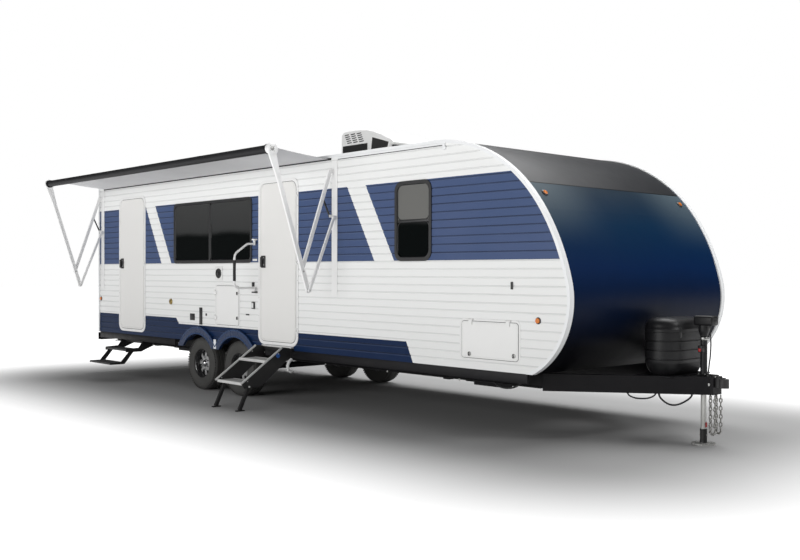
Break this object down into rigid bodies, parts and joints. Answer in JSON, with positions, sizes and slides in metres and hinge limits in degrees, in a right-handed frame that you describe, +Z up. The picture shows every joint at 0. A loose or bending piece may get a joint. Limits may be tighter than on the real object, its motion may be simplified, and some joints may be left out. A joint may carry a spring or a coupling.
{
  "type": "travel trailer",
  "caption": "Tandem-axle travel trailer with rounded front cap, side awning, two entry doors, folding-step stairs and A-frame tongue on its jack.",
  "frame": {"origin": "centre of the hitch-ball socket in the coupler", "axes": "+X forward to the tow vehicle, +Y left (road side), +Z up"},
  "size_m": [9.5392, 3.3381, 3.1473],
  "materials": {
    "chassis_black": "semi-gloss",
    "underbelly": "matte",
    "white_siding": "semi-gloss",
    "roof_membrane": "matte",
    "cap_charcoal": "gloss",
    "cap_navy": "gloss",
    "skirt_navy": "gloss",
    "white_trim": "semi-gloss",
    "tyre_rubber": "matte",
    "rim_black": "gloss",
    "door_skin": "satin",
    "window_black": "satin",
    "tinted_glass": "gloss",
    "shroud_plastic": "satin",
    "awning_white": "semi-gloss",
    "awning_cloth": "matte",
    "roller_cloth": "matte",
    "strut_black": "satin",
    "tread_grip": "satin",
    "handle_white": "semi-gloss",
    "cover_plastic": "satin",
    "jack_steel": "brushed",
    "chain_steel": "worn",
    "cable_rubber": "satin",
    "lens_red": "gloss",
    "lens_amber": "gloss",
    "fitting_plastic": "satin"
  },
  "bodies": {
    "trailer": {"chassis": "chassis_black", "tongue_frame": "chassis_black", "coupler": "chassis_black", "rear_bumper": "chassis_black", "floor": "underbelly", "wheel_wells": "underbelly", "right_wall": "white_siding", "left_wall": "white_siding", "rear_wall": "white_siding", "roof": "roof_membrane", "upper_cap": "cap_charcoal", "front_cap": "cap_navy", "edge_trims": "white_trim", "fender_skirts": "skirt_navy", "front_axle": "chassis_black", "rear_axle": "chassis_black", "leaf_springs": "chassis_black", "door_frames": "white_trim", "window_frames": "window_black", "window_glass": "tinted_glass", "hatch_frames": "white_trim", "air_conditioner": "shroud_plastic", "roof_vents": "shroud_plastic", "awning_channels": "awning_white", "awning_canopy": "awning_cloth", "stair_frame": "chassis_black", "stair_treads": "tread_grip", "rear_step": "chassis_black", "grab_brackets": "handle_white", "propane_cover": "cover_plastic", "jack_post": "chassis_black", "jack_leg": "jack_steel", "stabilizer_jacks": "chassis_black", "safety_chains": "chain_steel", "cable_jack": "cable_rubber", "cable_front": "cable_rubber", "cable_rear": "cable_rubber", "cable_side": "cable_rubber", "tail_lights": "lens_red", "marker_lights": "lens_amber", "wall_fittings": "fitting_plastic"},
    "front_entry": {"front_door": "door_skin"},
    "rear_entry": {"rear_door": "door_skin"},
    "baggage_right": {"baggage_door_right": "white_trim"},
    "baggage_left": {"baggage_door_left": "white_trim"},
    "hatch": {"utility_hatch": "white_trim"},
    "handle": {"grab_handle": "handle_white"},
    "wall_arms": {"awning_wall_arms": "awning_white"},
    "outer_arms": {"awning_outer_arms": "awning_white", "awning_roller": "roller_cloth"},
    "braces": {"awning_braces": "awning_white"},
    "struts": {"awning_struts": "strut_black"},
    "wheel_right_front": {"tyre_right_front": "tyre_rubber", "rim_right_front": "rim_black"},
    "wheel_right_rear": {"tyre_right_rear": "tyre_rubber", "rim_right_rear": "rim_black"},
    "wheel_left_front": {"tyre_left_front": "tyre_rubber", "rim_left_front": "rim_black"},
    "wheel_left_rear": {"tyre_left_rear": "tyre_rubber", "rim_left_rear": "rim_black"}
  },
  "joints": [
    {"name": "wheel_right_front_spin", "type": "hinge", "parent": "trailer", "child": "wheel_right_front", "pos_m": [-5.67587, -1.0875, -0.198], "axis": [0, 1, 0], "continuous": true},
    {"name": "wheel_right_rear_spin", "type": "hinge", "parent": "trailer", "child": "wheel_right_rear", "pos_m": [-6.52987, -1.0875, -0.198], "axis": [0, 1, 0], "continuous": true},
    {"name": "wheel_left_front_spin", "type": "hinge", "parent": "trailer", "child": "wheel_left_front", "pos_m": [-5.67587, 1.0875, -0.198], "axis": [0, 1, 0], "continuous": true},
    {"name": "wheel_left_rear_spin", "type": "hinge", "parent": "trailer", "child": "wheel_left_rear", "pos_m": [-6.52987, 1.0875, -0.198], "axis": [0, 1, 0], "continuous": true},
    {"name": "front_entry_hinge", "type": "hinge", "parent": "trailer", "child": "front_entry", "pos_m": [-4.46487, -1.231, 1.05], "axis": [0, 0, 1], "range_deg": [0, 125]},
    {"name": "rear_entry_hinge", "type": "hinge", "parent": "trailer", "child": "rear_entry", "pos_m": [-7.95987, -1.231, 1.05], "axis": [0, 0, 1], "range_deg": [0, 160]},
    {"name": "baggage_right_hinge", "type": "hinge", "parent": "trailer", "child": "baggage_right", "pos_m": [-1.58787, -1.229, 0.53], "axis": [-1, 0, 0], "range_deg": [0, 150]},
    {"name": "baggage_left_hinge", "type": "hinge", "parent": "trailer", "child": "baggage_left", "pos_m": [-1.58787, 1.229, 0.53], "axis": [1, 0, 0], "range_deg": [0, 150]},
    {"name": "hatch_hinge", "type": "hinge", "parent": "trailer", "child": "hatch", "pos_m": [-6.14287, -1.229, 0.552], "axis": [0, 0, -1], "range_deg": [0, 150]},
    {"name": "handle_swing", "type": "hinge", "parent": "trailer", "child": "handle", "pos_m": [-5.25287, -1.247, 1.028], "axis": [0, 0, -1], "range_deg": [0, 88]},
    {"name": "awning_swing", "type": "hinge", "parent": "trailer", "child": "wall_arms", "pos_m": [-6.50637, -1.259, 2.023], "axis": [-1, 0, 0], "range_deg": [-17.9, 0], "deforming": ["awning_canopy"]},
    {"name": "awning_elbow", "type": "hinge", "parent": "wall_arms", "child": "outer_arms", "pos_m": [-6.50637, -1.63235, 0.96282], "axis": [-1, 0, 0], "range_deg": [0, 35.8]},
    {"name": "awning_brace", "type": "hinge", "parent": "trailer", "child": "braces", "pos_m": [-6.50637, -1.254, 1.528], "axis": [-1, 0, 0], "range_deg": [-20.33, 0]},
    {"name": "awning_strut", "type": "hinge", "parent": "trailer", "child": "struts", "pos_m": [-6.50637, -1.249, 1.548], "axis": [-1, 0, 0], "range_deg": [0, 21.16]}
  ],
  "couplings": [
    {"joint": "awning_elbow", "follows": "awning_swing", "ratio": -2},
    {"joint": "awning_brace", "follows": "awning_swing", "ratio": 1.1247},
    {"joint": "awning_strut", "follows": "awning_swing", "ratio": -1.1707}
  ]
}
